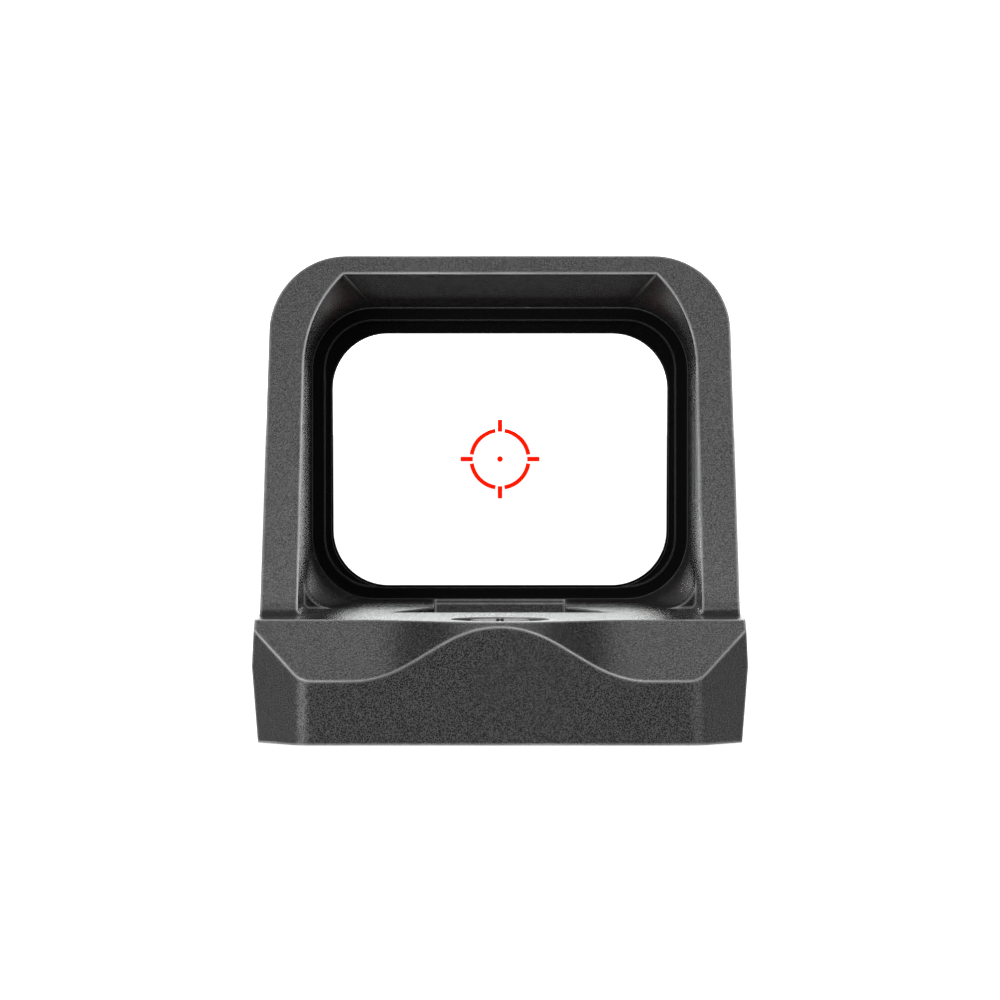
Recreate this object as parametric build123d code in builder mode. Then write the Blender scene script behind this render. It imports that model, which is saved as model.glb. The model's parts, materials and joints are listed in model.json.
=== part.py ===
"""Compact open reflex sight (red dot finder). X right, Y towards the target, Z up, millimetres.

The origin is at the middle of the underside. The eye is on the -Y side.
"""
import os
from math import cos, radians, sin, sqrt

from build123d import *

os.makedirs("parts", exist_ok=True)

# ---------------------------------------------------------------- driving dimensions
HALF_LENGTH = 23.0
SIDE_X = 15.75            # widest half width, at SIDE_Z
SIDE_Z = 4.8
SIDE_BOTTOM_X = 15.35
SIDE_DECK_X = 15.6
HOOD_X = 15.5
HEIGHT = 31.5
HOOD_CORNER_R = 5.1
DECK_Z = 7.75
SHELF_Z = 6.6
HOOD_FOOT_Y = -12.58      # where the hood's sloping rear face meets the deck
HOOD_FRONT_Y = 15.6
REAR_CHAMFER = 3.25
REAR_BLEND_R = 1.65
FRONT_CORNER_R = 4.5

# eye-side mouth of the hood and the ring that holds the lens
MOUTH_Y = 1.3
MOUTH_STEP_Y = -2.6
RING_Y = 5.5
POST_X = 13.15
MOUTH_TOP_Z = 30.26
MOUTH_CORNER_X = 10.6
MOUTH_ARC_Z = 24.0
RING_X = 12.89
RING_LOW_Z = 8.05
RING_HIGH_Z = 28.05
RING_R = 4.26

# optics
LENS_TILT = 8.0           # degrees, top towards the eye
LENS_Y = 8.7              # seat plane of the lens at its middle height
LENS_Z = (RING_LOW_Z + RING_HIGH_Z) / 2
LENS_GAP = 0.3            # filled by the seal
WINDOW_X = 11.56
WINDOW_LOW_Z = 8.85
WINDOW_HIGH_Z = 26.3
WINDOW_R = 3.8
BEZEL_LIP = 0.85
BEZEL_STEP = 0.8
OUTER_SURFACE_R = 78.0
MIRROR_SURFACE_R = 46.0
REAR_VERTEX = 1.33        # distances along the tilted lens axis from the seat plane
MIRROR_VERTEX = 3.03
FRONT_VERTEX = 3.93
RETAINER_SEAT = 3.48
RETAINER_THICKNESS = 1.1

# mechanism bay under the deck, open from below
PLATE_SEAT_Z = 0.95
BAY_X = 12.2
BAY_REAR_Y = -18.4
BAY_FRONT_Y = -9.9
BAY_ROOF_Z = 6.3
RIB_X = 7.8
RIB_THICKNESS = 1.2
NOSE_CHANNEL_X = 2.6
NOSE_CHANNEL_Z = (5.5, 7.1)
REAR_ROOM_Y = -21.4       # low room behind the bay, for the plate's screws
REAR_ROOM_Z = 3.4
NUT_ROOM_X = 4.2
NUT_ROOM_Z = 5.85
BOARD_ROOM_X = (-12.6, -6.2)
BOARD_ROOM_FRONT_Y = 9.0
BOARD_Z = (1.3, 1.9)
REAR_PIN = (-16.6, 5.3)  # guide pins, as (y, z)
FRONT_PIN = (-11.0, 2.6)
PIN_R = 0.5
ARM_OUTER_X = 6.0
ARM_INNER_X = 3.3
KEY_DEPTH = 0.45
CARRIAGE_LOW_Z = 1.2
BLOCK_LOW_Z = 2.3
TONGUE_HIGH_Z = 4.4
NUT_Z = (2.9, 3.6)
LED_Z = 6.1

# trough in the deck that lets the light out
TROUGH_REAR_Y = -9.0
TROUGH_REAR_X = 7.35
TROUGH_NARROW_Y = -0.2
TROUGH_NARROW_X = 4.46
TROUGH_FLOOR_Z = 5.3
TROUGH_END_Y = 5.3

# adjusters
WINDAGE_FACE_X = 15.68
ELEVATION_Y = -18.6
HEAD_HEIGHT = 1.18
HEAD_BORE_DEPTH = 1.4
HEAD_SINK = 0.05
WASHER_THICKNESS = 0.15
ORING_R = 0.2
ORING_DEPTH = 0.7
ELEVATION_CLIP_DEPTH = 1.95
ELEVATION_SCREW_LENGTH = 6.0
WINDAGE_CLIP_DEPTH = 3.55
WINDAGE_SCREW_LENGTH = 11.8
WINDAGE_Y = -14.0
WINDAGE_Z = 4.0
RECESS_R = 3.15
RECESS_DEPTH = 0.45
HEAD_R = 2.0
SHANK_R = 1.0
THREAD_R = 0.8
RUNNING_FIT = 0.06
CLIP_R = 1.4
CLIP_THICKNESS = 0.3

# coin cell and its drawer
CELL_R = 8.0
CELL_THICKNESS = 3.2
CELL_X = 3.5
CELL_Y = -0.5
CELL_LOW_Z = 1.42
TRAY_LOW_Z = 1.06
LOCK_HEAD_LOW_X = 14.85
POCKET_X = -4.9
POCKET_REAR_Y = -9.1
POCKET_FRONT_Y = 8.1
POCKET_LOW_Z = 1.0
POCKET_HIGH_Z = 4.7
DOOR_REAR_Y = -9.7
DOOR_FRONT_Y = 11.7
DOOR_LOW_Z = 0.6
DOOR_HIGH_Z = 5.3
DOOR_RECESS_X = 13.85
DOOR_INNER_X = 14.15
LOCK_Y = 9.9
LOCK_Z = 2.95
LOCK_R = 0.9
LOCK_HEAD_R = 1.4
POSITIVE_SLOT_Y = (-2.0, 1.0)
NEGATIVE_SLOT_Y = (1.5, 4.5)

# keypad on the left wall
BUTTON_Y = 3.2
BUTTON_Z = 3.5
BUTTON_R = 1.6
FLANGE_X = -14.6
STEM_R = 0.8
PLUNGER_R = 0.5
SIGN_DEPTH_X = -15.5
SIGN_HALF_LENGTH = 1.0
SIGN_HALF_WIDTH = 0.17
KEYPAD_HALF_LENGTH = 8.4
KEYPAD_HALF_HEIGHT = 2.3
KEYPAD_SCREW_Y = 7.2
COVER_INNER_X = -15.0
MEMBRANE_INNER_X = -13.9
MEMBRANE_HALF_LENGTH = 5.9
MEMBRANE_HALF_HEIGHT = 2.0
KEYPAD_HEAD_X = -15.6
KEYPAD_HEAD_R = 0.95
KEYPAD_SCREW_R = 0.5
SWITCH_X = -12.2

# base fastening
MOUNT_X = 9.5
MOUNT_Y = 18.6
MOUNT_HOLE_R = 1.6
MOUNT_HEAD_R = 2.75
MOUNT_HEAD_DEPTH = 3.0
LOCATING_Y = 12.5
LOCATING_R = 1.5
LOCATING_DEPTH = 1.6
PLATE_X = 13.0
PLATE_STEP_Y = -9.3
PLATE_LOW_Z = 0.1
GASKET_LOW_Z = 0.7
PLATE_SCREWS = [(-10.9, -20.0), (10.9, -20.0), (10.9, -11.2), (-10.9, 7.4)]
PLATE_BOSS_R = 1.5
PLATE_SCREW_R = 0.7
PLATE_HEAD_R = 1.25
BOARD_POSTS = [(-11.0, -16.8), (-9.4, -4.0), (-7.4, 4.0)]


def across(y):
    """Sketch plane at depth y, seen from the eye: local x is X and local y is Z."""
    return Plane.XZ.offset(-y)


def finish(part, name):
    """Label a finished piece and write it out."""
    part.label = name
    export_step(part, f"parts/{name}.step")


def draw_block(x_range, y_range, z_range, mode=Mode.ADD):
    """Box given by its limits along each axis."""
    with Locations(((x_range[0] + x_range[1]) / 2, (y_range[0] + y_range[1]) / 2, z_range[0])):
        Box(
            x_range[1] - x_range[0],
            y_range[1] - y_range[0],
            z_range[1] - z_range[0],
            align=(Align.CENTER, Align.CENTER, Align.MIN),
            mode=mode,
        )


def draw_rod(start, direction, radius, length, mode=Mode.ADD):
    """Cylinder from start along direction."""
    with BuildSketch(Plane(origin=start, z_dir=direction)) as section:
        Circle(radius)
    extrude(section.sketch, amount=length, mode=mode)


def mouth_outline(y, corner_r):
    """Opening between the posts: straight sides, swept upper corners and a flat top."""
    with BuildSketch(across(y)) as outline:
        with BuildLine():
            side = Line((POST_X, DECK_Z + corner_r), (POST_X, MOUTH_ARC_Z))
            sweep_arc = RadiusArc(side @ 1, (MOUTH_CORNER_X, MOUTH_TOP_Z), -8.96)
            top = Line(sweep_arc @ 1, (RING_X - RING_R, MOUTH_TOP_Z))
            Line(top @ 1, (0, MOUTH_TOP_Z))
            foot = RadiusArc(side @ 0, (POST_X - corner_r, DECK_Z), corner_r)
            floor = Line(foot @ 1, (RING_X - RING_R, DECK_Z))
            Line(floor @ 1, (0, DECK_Z))
            mirror(about=Plane.YZ)
        make_face()
    return outline.sketch


def ring_outline(y, inset=0.0):
    """Rounded rectangle of the lens ring, with a joint in each upper arc that meets the mouth's corner."""
    r = RING_R - inset
    flat_x = RING_X - RING_R
    high_z = RING_HIGH_Z - inset
    low_z = RING_LOW_Z + inset
    corner_z = high_z - r + sqrt(r**2 - (MOUTH_CORNER_X - flat_x) ** 2)
    with BuildSketch(across(y)) as outline:
        with BuildLine():
            side = Line((RING_X - inset, low_z + r), (RING_X - inset, high_z - r))
            upper = RadiusArc(side @ 1, (MOUTH_CORNER_X, corner_z), -r)
            crown = RadiusArc(upper @ 1, (flat_x, high_z), -r)
            Line(crown @ 1, (0, high_z))
            lower = RadiusArc(side @ 0, (flat_x + 0.01, low_z), r)
            foot = Line(lower @ 1, (flat_x, low_z))
            Line(foot @ 1, (0, low_z))
            mirror(about=Plane.YZ)
        make_face()
    return outline.sketch


def window_outline(y, grow=0.0):
    """Clear opening of the bezel."""
    with BuildSketch(across(y)) as outline:
        with Locations((0, (WINDOW_LOW_Z + WINDOW_HIGH_Z) / 2)):
            RectangleRounded(
                2 * (WINDOW_X + grow), WINDOW_HIGH_Z - WINDOW_LOW_Z + 2 * grow, WINDOW_R + grow
            )
    return outline.sketch


def lens_plane(distance):
    """Plane square to the tilted lens axis, at a distance from the seat along that axis."""
    axis = (0, cos(radians(LENS_TILT)), sin(radians(LENS_TILT)))
    origin = (0, LENS_Y + distance * axis[1], LENS_Z + distance * axis[2])
    return Plane(origin=origin, x_dir=(1, 0, 0), z_dir=axis)


def draw_adjuster_bore(surface, direction):
    """Recess around the dial, bore for its head, and bore for its shank."""
    point = Vector(*surface)
    inward = Vector(*direction)
    draw_rod(point - inward, direction, RECESS_R, 1 + RECESS_DEPTH, Mode.SUBTRACT)
    draw_rod(point, direction, HEAD_R + RUNNING_FIT, HEAD_BORE_DEPTH, Mode.SUBTRACT)
    draw_rod(point, direction, SHANK_R + RUNNING_FIT, HEAD_BORE_DEPTH + 2.4, Mode.SUBTRACT)


def draw_flush_screw(top, direction, head_r, shank_r, length, mode=Mode.ADD):
    """Countersunk screw, or the room for one, from the middle of its head."""
    plane = Plane(origin=top, z_dir=direction)
    with BuildSketch(Plane(origin=top, x_dir=plane.x_dir, z_dir=plane.y_dir)) as half_section:
        Polygon(
            (0, 0), (head_r, 0), (shank_r, shank_r - head_r), (shank_r, -length), (0, -length), align=None
        )
    revolve(half_section.sketch, axis=Axis(top, direction), mode=mode)


def plate_outline(z, inset=0.0):
    """L shape of the bottom plate: under the mechanism bay and along the board room."""
    with BuildSketch(Plane.XY.offset(z)) as outline:
        with BuildLine():
            Polyline(
                (-PLATE_X, 9.8),
                (-PLATE_X, -22.0),
                (PLATE_X, -22.0),
                (PLATE_X, PLATE_STEP_Y),
                (-5.4, PLATE_STEP_Y),
                (-5.4, 9.8),
                close=True,
            )
        make_face()
        offset(amount=-inset, kind=Kind.INTERSECTION)
        fillet(outline.vertices().filter_by(lambda v: v.Y < -20 or v.Y > 5), 1.6 - inset)
    return outline.sketch


def draw_coil(start, direction, radius, wire_r, height, pitch):
    """Round-wire compression spring."""
    coil = Helix(pitch, height, radius, center=start, direction=direction)
    with BuildSketch(Plane(origin=coil @ 0, z_dir=coil % 0)) as section:
        Circle(wire_r)
    sweep(section.sketch, path=coil, is_frenet=True)


# ---------------------------------------------------------------- housing
# Outer shape: a side profile, cut to the eye-side outline and to the plan.
with BuildPart() as envelope:
    with BuildSketch(Plane.YZ) as side_profile:
        with BuildLine():
            Polyline(
                (-HALF_LENGTH, 0),
                (HALF_LENGTH, 0),
                (HALF_LENGTH, 4.4),
                (HALF_LENGTH - 1.6, SHELF_Z),
                (HOOD_FRONT_Y, SHELF_Z),
                (HOOD_FRONT_Y - 1.2, HEIGHT - 1.2),
                (HOOD_FRONT_Y - 2.4, HEIGHT),
                (2.0, HEIGHT),
                (HOOD_FOOT_Y, DECK_Z),
                (-HALF_LENGTH, DECK_Z),
                close=True,
            )
        make_face()
        fillet(side_profile.vertices().sort_by_distance((HOOD_FOOT_Y, DECK_Z, 0))[0], 1.6)
        fillet(side_profile.vertices().sort_by_distance((HOOD_FRONT_Y, SHELF_Z, 0))[0], 1.0)
    extrude(amount=20, both=True)
    with BuildSketch(Plane.XZ) as eye_outline:
        with BuildLine():
            Polyline(
                (0, 0),
                (SIDE_BOTTOM_X, 0),
                (SIDE_X, SIDE_Z),
                (SIDE_DECK_X, DECK_Z),
                (HOOD_X, HEIGHT),
                (0, HEIGHT),
            )
            mirror(about=Plane.YZ)
        make_face()
        fillet(eye_outline.vertices().group_by(Axis.Y)[-1].filter_by(lambda v: abs(v.X) > 1), HOOD_CORNER_R)
    extrude(amount=30, both=True, mode=Mode.INTERSECT)
    with BuildSketch(Plane.XY) as plan:
        Rectangle(2 * SIDE_X + 0.1, 2 * HALF_LENGTH)
        chamfer(plan.vertices().group_by(Axis.Y)[0], REAR_CHAMFER)
        fillet(plan.vertices().group_by(Axis.Y)[-1], FRONT_CORNER_R)
        fillet(plan.vertices().group_by(Axis.Y)[0], REAR_BLEND_R)
    extrude(amount=40, mode=Mode.INTERSECT)
    # Scalloped rear facet: an S-curve carried up and forwards at 45 degrees.
    with BuildSketch(across(-HALF_LENGTH)):
        with BuildLine():
            Bezier((0, 7.45), (3.9, 7.45), (5.5, 4.05), (9.4, 4.05))
            Polyline((9.4, 4.05), (20, 4.05), (20, 12), (0, 12), (0, 7.45))
        make_face()
        mirror(about=Plane.YZ)
    extrude(amount=12, dir=(0, 1, 1), mode=Mode.SUBTRACT)

# Room of the light trough, with its sloping far end.
with BuildPart() as trough_room:
    with BuildSketch(Plane.XY.offset(TROUGH_FLOOR_Z)):
        with BuildLine():
            Polyline(
                (0, TROUGH_REAR_Y),
                (TROUGH_REAR_X, TROUGH_REAR_Y),
                (TROUGH_NARROW_X, TROUGH_NARROW_Y),
                (TROUGH_NARROW_X, TROUGH_END_Y),
                (0, TROUGH_END_Y),
            )
            mirror(about=Plane.YZ)
        make_face()
    extrude(amount=3)
    with BuildSketch(Plane.YZ):
        with BuildLine():
            Polyline(
                (TROUGH_END_Y - 2.3, TROUGH_FLOOR_Z),
                (TROUGH_END_Y, DECK_Z),
                (TROUGH_END_Y, TROUGH_FLOOR_Z),
                close=True,
            )
        make_face()
    extrude(amount=10, both=True, mode=Mode.SUBTRACT)

with BuildPart() as housing:
    add(envelope.part)
    # Mouth, its rounded step and the bevel that runs down to the lens ring.
    extrude(mouth_outline(MOUTH_STEP_Y, 0.4), amount=25, mode=Mode.SUBTRACT)
    extrude(mouth_outline(MOUTH_Y, 2.0), amount=MOUTH_Y - MOUTH_STEP_Y, mode=Mode.SUBTRACT)
    loft([mouth_outline(MOUTH_Y, 2.0).face(), ring_outline(RING_Y).face()], ruled=True, mode=Mode.SUBTRACT)
    # Straight bore for the optics.
    extrude(ring_outline(RING_Y), amount=-20, mode=Mode.SUBTRACT)
    add(trough_room.part, mode=Mode.SUBTRACT)
    # Mechanism bay with two ribs that carry the guide pins, and the board room beside the cell.
    with BuildSketch(Plane.XY.offset(PLATE_SEAT_Z)):
        with Locations((0, (BAY_REAR_Y + BAY_FRONT_Y) / 2)):
            Rectangle(2 * BAY_X, BAY_FRONT_Y - BAY_REAR_Y)
        with Locations((-RIB_X, BAY_REAR_Y), (RIB_X, BAY_REAR_Y)):
            Rectangle(RIB_THICKNESS, 20, mode=Mode.SUBTRACT)
        with Locations(PLATE_SCREWS[2]):
            Circle(PLATE_BOSS_R, mode=Mode.SUBTRACT)
    extrude(amount=BAY_ROOF_Z - PLATE_SEAT_Z, mode=Mode.SUBTRACT)
    with BuildSketch(Plane.XY.offset(PLATE_SEAT_Z)):
        with Locations((sum(BOARD_ROOM_X) / 2, (BAY_FRONT_Y + BOARD_ROOM_FRONT_Y) / 2)):
            Rectangle(BOARD_ROOM_X[1] - BOARD_ROOM_X[0], BOARD_ROOM_FRONT_Y - BAY_FRONT_Y + 0.02)
        with Locations(PLATE_SCREWS[3]):
            Circle(PLATE_BOSS_R, mode=Mode.SUBTRACT)
    extrude(amount=POCKET_HIGH_Z - PLATE_SEAT_Z, mode=Mode.SUBTRACT)
    with BuildSketch(Plane.XY.offset(PLATE_SEAT_Z)):
        with Locations((0, (BAY_REAR_Y + REAR_ROOM_Y) / 2)):
            Rectangle(2 * BAY_X, BAY_REAR_Y - REAR_ROOM_Y + 0.02)
        with Locations(*PLATE_SCREWS[:2]):
            Circle(PLATE_BOSS_R, mode=Mode.SUBTRACT)
    extrude(amount=REAR_ROOM_Z - PLATE_SEAT_Z, mode=Mode.SUBTRACT)
    draw_block((-NUT_ROOM_X, NUT_ROOM_X), (REAR_ROOM_Y, BAY_REAR_Y + 0.02), (2, NUT_ROOM_Z), Mode.SUBTRACT)
    # Light channel for the emitter's nose, through the trough's rear wall.
    nose_channel_y = (-13.5, TROUGH_REAR_Y + 0.1)
    draw_block((-NOSE_CHANNEL_X, NOSE_CHANNEL_X), nose_channel_y, NOSE_CHANNEL_Z, Mode.SUBTRACT)
    # Passages in the left rib for the flex lead and in both ribs for the pins and the windage screw.
    draw_block((-RIB_X - 1, -RIB_X + 1), (-10.4, BAY_FRONT_Y), (4.8, 6.2), Mode.SUBTRACT)
    for pin_y, pin_z in (REAR_PIN, FRONT_PIN):
        draw_rod((-RIB_X - 0.7, pin_y, pin_z), (1, 0, 0), PIN_R, 2 * RIB_X + 1.4, Mode.SUBTRACT)
    draw_rod((RIB_X - 1, WINDAGE_Y, WINDAGE_Z), (1, 0, 0), THREAD_R + 0.2, 2, Mode.SUBTRACT)
    # Lower roof under the elevation dial.
    draw_block((-2.7, 2.7), (BAY_REAR_Y - 0.1, -16.2), (NUT_ROOM_Z, BAY_ROOF_Z + 0.1))
    # Seat of the bottom plate.
    extrude(plate_outline(0), amount=PLATE_SEAT_Z, mode=Mode.SUBTRACT)
    for x, y in PLATE_SCREWS:
        draw_rod((x, y, PLATE_SEAT_Z - 0.1), (0, 0, 1), PLATE_SCREW_R, 2.6, Mode.SUBTRACT)
    # Stepped adjuster bores: recess, head bore, shank bore.
    draw_adjuster_bore((0, ELEVATION_Y, DECK_Z), (0, 0, -1))
    draw_adjuster_bore((WINDAGE_FACE_X, WINDAGE_Y, WINDAGE_Z), (-1, 0, 0))
    # Pocket for the cell and its drawer, with slots for the contacts.
    draw_block(
        (POCKET_X, SIDE_X + 1),
        (POCKET_REAR_Y, POCKET_FRONT_Y),
        (POCKET_LOW_Z, POCKET_HIGH_Z),
        Mode.SUBTRACT,
    )
    draw_block(
        (DOOR_RECESS_X, SIDE_X + 1),
        (DOOR_REAR_Y, DOOR_FRONT_Y),
        (DOOR_LOW_Z, DOOR_HIGH_Z),
        Mode.SUBTRACT,
    )
    draw_rod((9.6, LOCK_Y, LOCK_Z), (1, 0, 0), LOCK_R + RUNNING_FIT, 5, Mode.SUBTRACT)
    draw_block((BOARD_ROOM_X[1] - 0.1, POCKET_X + 0.1), POSITIVE_SLOT_Y, (1.8, 4.3), Mode.SUBTRACT)
    draw_block((BOARD_ROOM_X[1] - 0.1, POCKET_X + 0.1), NEGATIVE_SLOT_Y, (POCKET_LOW_Z, 2.3), Mode.SUBTRACT)
    # Keypad recesses and the buttons' bores on the left wall.
    draw_block(
        (-SIDE_X - 1, COVER_INNER_X),
        (-KEYPAD_HALF_LENGTH, KEYPAD_HALF_LENGTH),
        (BUTTON_Z - KEYPAD_HALF_HEIGHT, BUTTON_Z + KEYPAD_HALF_HEIGHT),
        Mode.SUBTRACT,
    )
    draw_block(
        (-SIDE_X, MEMBRANE_INNER_X),
        (-MEMBRANE_HALF_LENGTH, MEMBRANE_HALF_LENGTH),
        (BUTTON_Z - MEMBRANE_HALF_HEIGHT, BUTTON_Z + MEMBRANE_HALF_HEIGHT),
        Mode.SUBTRACT,
    )
    for y in (-BUTTON_Y, BUTTON_Y):
        draw_rod((BOARD_ROOM_X[0] + 0.1, y, BUTTON_Z), (-1, 0, 0), STEM_R + 0.15, 2, Mode.SUBTRACT)
    for y in (-KEYPAD_SCREW_Y, KEYPAD_SCREW_Y):
        draw_rod((COVER_INNER_X, y, BUTTON_Z), (1, 0, 0), KEYPAD_SCREW_R, 1.8, Mode.SUBTRACT)
    # Mounting holes in the front shelf and blind locating bores underneath.
    with Locations(Plane.XY.offset(SHELF_Z)):
        with Locations((-MOUNT_X, MOUNT_Y), (MOUNT_X, MOUNT_Y)):
            CounterBoreHole(MOUNT_HOLE_R, MOUNT_HEAD_R, MOUNT_HEAD_DEPTH)
    for x in (-MOUNT_X, MOUNT_X):
        draw_rod((x, LOCATING_Y, 0), (0, 0, 1), LOCATING_R, LOCATING_DEPTH, Mode.SUBTRACT)
finish(housing.part, "housing")

# ---------------------------------------------------------------- optics
with BuildPart() as lens_bezel:
    extrude(ring_outline(RING_Y), amount=-6)
    extrude(ring_outline(RING_Y, BEZEL_LIP), amount=-BEZEL_STEP, mode=Mode.SUBTRACT)
    extrude(window_outline(RING_Y), amount=-8, mode=Mode.SUBTRACT)
    split(bisect_by=lens_plane(0), keep=Keep.BOTTOM)
finish(lens_bezel.part, "lens_bezel")

with BuildPart() as lens_retainer:
    extrude(ring_outline(RING_Y), amount=-14)
    extrude(window_outline(RING_Y, 0.5), amount=-14, mode=Mode.SUBTRACT)
    split(bisect_by=lens_plane(RETAINER_SEAT), keep=Keep.TOP)
    split(bisect_by=lens_plane(RETAINER_SEAT + RETAINER_THICKNESS), keep=Keep.BOTTOM)
finish(lens_retainer.part, "lens_retainer")

with BuildPart() as lens_seal:
    extrude(ring_outline(RING_Y), amount=-14)
    extrude(ring_outline(RING_Y, LENS_GAP), amount=-14, mode=Mode.SUBTRACT)
    split(bisect_by=lens_plane(0), keep=Keep.TOP)
    split(bisect_by=lens_plane(RETAINER_SEAT), keep=Keep.BOTTOM)
finish(lens_seal.part, "lens_seal")


def lens_element(rear_vertex, rear_r, front_vertex, front_r):
    """Meniscus cut from the lens outline by two spheres centred on the tilted axis, behind the lens."""
    rear_centre = lens_plane(rear_vertex - rear_r).origin
    front_centre = lens_plane(front_vertex - front_r).origin
    with BuildPart() as element:
        extrude(ring_outline(RING_Y, LENS_GAP), amount=-14)
        with Locations(front_centre):
            Sphere(front_r, mode=Mode.INTERSECT)
        with Locations(rear_centre):
            Sphere(rear_r, mode=Mode.SUBTRACT)
    return element.part


finish(lens_element(REAR_VERTEX, OUTER_SURFACE_R, MIRROR_VERTEX, MIRROR_SURFACE_R), "lens_rear_element")
finish(lens_element(MIRROR_VERTEX, MIRROR_SURFACE_R, FRONT_VERTEX, OUTER_SURFACE_R), "lens_front_element")

with BuildPart() as emitter_window:
    draw_block((-NOSE_CHANNEL_X, NOSE_CHANNEL_X), (-9.75, -9.25), NOSE_CHANNEL_Z)
finish(emitter_window.part, "emitter_window")

# ---------------------------------------------------------------- bottom closure and electronics
with BuildPart() as bottom_gasket:
    extrude(plate_outline(GASKET_LOW_Z, 0.05), amount=PLATE_SEAT_Z - GASKET_LOW_Z)
    extrude(plate_outline(GASKET_LOW_Z, 0.7), amount=1, mode=Mode.SUBTRACT)
finish(bottom_gasket.part, "bottom_gasket")

with BuildPart() as bottom_plate:
    extrude(plate_outline(PLATE_LOW_Z, 0.05), amount=GASKET_LOW_Z - PLATE_LOW_Z)
    for x, y in BOARD_POSTS:
        draw_rod((x, y, GASKET_LOW_Z), (0, 0, 1), 0.7, BOARD_Z[0] - GASKET_LOW_Z)
    for x, y in PLATE_SCREWS:
        draw_flush_screw((x, y, PLATE_LOW_Z), (0, 0, 1), PLATE_HEAD_R, PLATE_SCREW_R, 1, Mode.SUBTRACT)
finish(bottom_plate.part, "bottom_plate")

with BuildPart() as bottom_plate_screws:
    for x, y in PLATE_SCREWS:
        draw_flush_screw((x, y, PLATE_LOW_Z), (0, 0, 1), PLATE_HEAD_R, PLATE_SCREW_R, 3.0)
finish(bottom_plate_screws.part, "bottom_plate_screws")

with BuildPart() as main_board:
    with BuildSketch(Plane.XY.offset(BOARD_Z[0])):
        with Locations((sum(BOARD_ROOM_X) / 2, -1.8)):
            Rectangle(5.9, 14.8)
        with Locations((-10.25, -13.5)):
            Rectangle(3.0, 9.0)
    extrude(amount=BOARD_Z[1] - BOARD_Z[0])
finish(main_board.part, "main_board")

with BuildPart() as board_components:
    draw_block((-11.4, -9.2), (-17.4, -15.0), (BOARD_Z[1], BOARD_Z[1] + 0.8))
    for y in (-12.6, -11.6, -1.0, 0.2):
        draw_block((-11.2, -10.2), (y, y + 0.5), (BOARD_Z[1], BOARD_Z[1] + 0.5))
    draw_block((-8.6, -6.8), (-6.6, -4.4), (BOARD_Z[1], BOARD_Z[1] + 0.9))
finish(board_components.part, "board_components")

with BuildPart() as brightness_switches:
    for y in (-BUTTON_Y, BUTTON_Y):
        draw_block((SWITCH_X, SWITCH_X + 2.6), (y - 1.8, y + 1.8), (BOARD_Z[1], 4.5))
        draw_rod((SWITCH_X, y, BUTTON_Z), (1, 0, 0), PLUNGER_R + RUNNING_FIT, 1.0, Mode.SUBTRACT)
finish(brightness_switches.part, "brightness_switches")

# ---------------------------------------------------------------- keypad
with BuildPart() as keypad_cover:
    draw_block(
        (-SIDE_X - 1, COVER_INNER_X),
        (-KEYPAD_HALF_LENGTH + 0.05, KEYPAD_HALF_LENGTH - 0.05),
        (BUTTON_Z - KEYPAD_HALF_HEIGHT + 0.05, BUTTON_Z + KEYPAD_HALF_HEIGHT - 0.05),
    )
    add(envelope.part, mode=Mode.INTERSECT)
    for y in (-BUTTON_Y, BUTTON_Y):
        draw_rod((COVER_INNER_X, y, BUTTON_Z), (-1, 0, 0), BUTTON_R + 0.07, 2, Mode.SUBTRACT)
    for y in (-KEYPAD_SCREW_Y, KEYPAD_SCREW_Y):
        screw_top = (KEYPAD_HEAD_X, y, BUTTON_Z)
        draw_flush_screw(screw_top, (1, 0, 0), KEYPAD_HEAD_R, KEYPAD_SCREW_R, 1, Mode.SUBTRACT)
finish(keypad_cover.part, "keypad_cover")

with BuildPart() as keypad_cover_screws:
    for y in (-KEYPAD_SCREW_Y, KEYPAD_SCREW_Y):
        draw_flush_screw((KEYPAD_HEAD_X, y, BUTTON_Z), (1, 0, 0), KEYPAD_HEAD_R, KEYPAD_SCREW_R, 2.2)
finish(keypad_cover_screws.part, "keypad_cover_screws")

with BuildPart() as keypad_membrane:
    draw_block(
        (MEMBRANE_INNER_X - 0.3, MEMBRANE_INNER_X),
        (-MEMBRANE_HALF_LENGTH, MEMBRANE_HALF_LENGTH),
        (BUTTON_Z - MEMBRANE_HALF_HEIGHT, BUTTON_Z + MEMBRANE_HALF_HEIGHT),
    )
    for y in (-BUTTON_Y, BUTTON_Y):
        draw_rod((MEMBRANE_INNER_X - 1, y, BUTTON_Z), (1, 0, 0), STEM_R + RUNNING_FIT, 2, Mode.SUBTRACT)
finish(keypad_membrane.part, "keypad_membrane")


def brightness_button(y, has_plus):
    """Round cap with an engraved sign, a flange behind the cover and a stem to the switch."""
    sign_x = (-SIDE_X - 1, SIGN_DEPTH_X)
    long_y = (y - SIGN_HALF_LENGTH, y + SIGN_HALF_LENGTH)
    thin_y = (y - SIGN_HALF_WIDTH, y + SIGN_HALF_WIDTH)
    long_z = (BUTTON_Z - SIGN_HALF_LENGTH, BUTTON_Z + SIGN_HALF_LENGTH)
    thin_z = (BUTTON_Z - SIGN_HALF_WIDTH, BUTTON_Z + SIGN_HALF_WIDTH)
    flange_start = COVER_INNER_X + 0.05
    with BuildPart() as button:
        draw_rod((FLANGE_X, y, BUTTON_Z), (-1, 0, 0), BUTTON_R, 2)
        add(envelope.part, mode=Mode.INTERSECT)
        draw_block(sign_x, long_y, thin_z, Mode.SUBTRACT)
        if has_plus:
            draw_block(sign_x, thin_y, long_z, Mode.SUBTRACT)
        draw_rod((flange_start, y, BUTTON_Z), (1, 0, 0), BUTTON_R + 0.35, FLANGE_X - flange_start)
        draw_rod((FLANGE_X, y, BUTTON_Z), (1, 0, 0), STEM_R, SWITCH_X - 0.35 - FLANGE_X)
    return button.part


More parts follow.
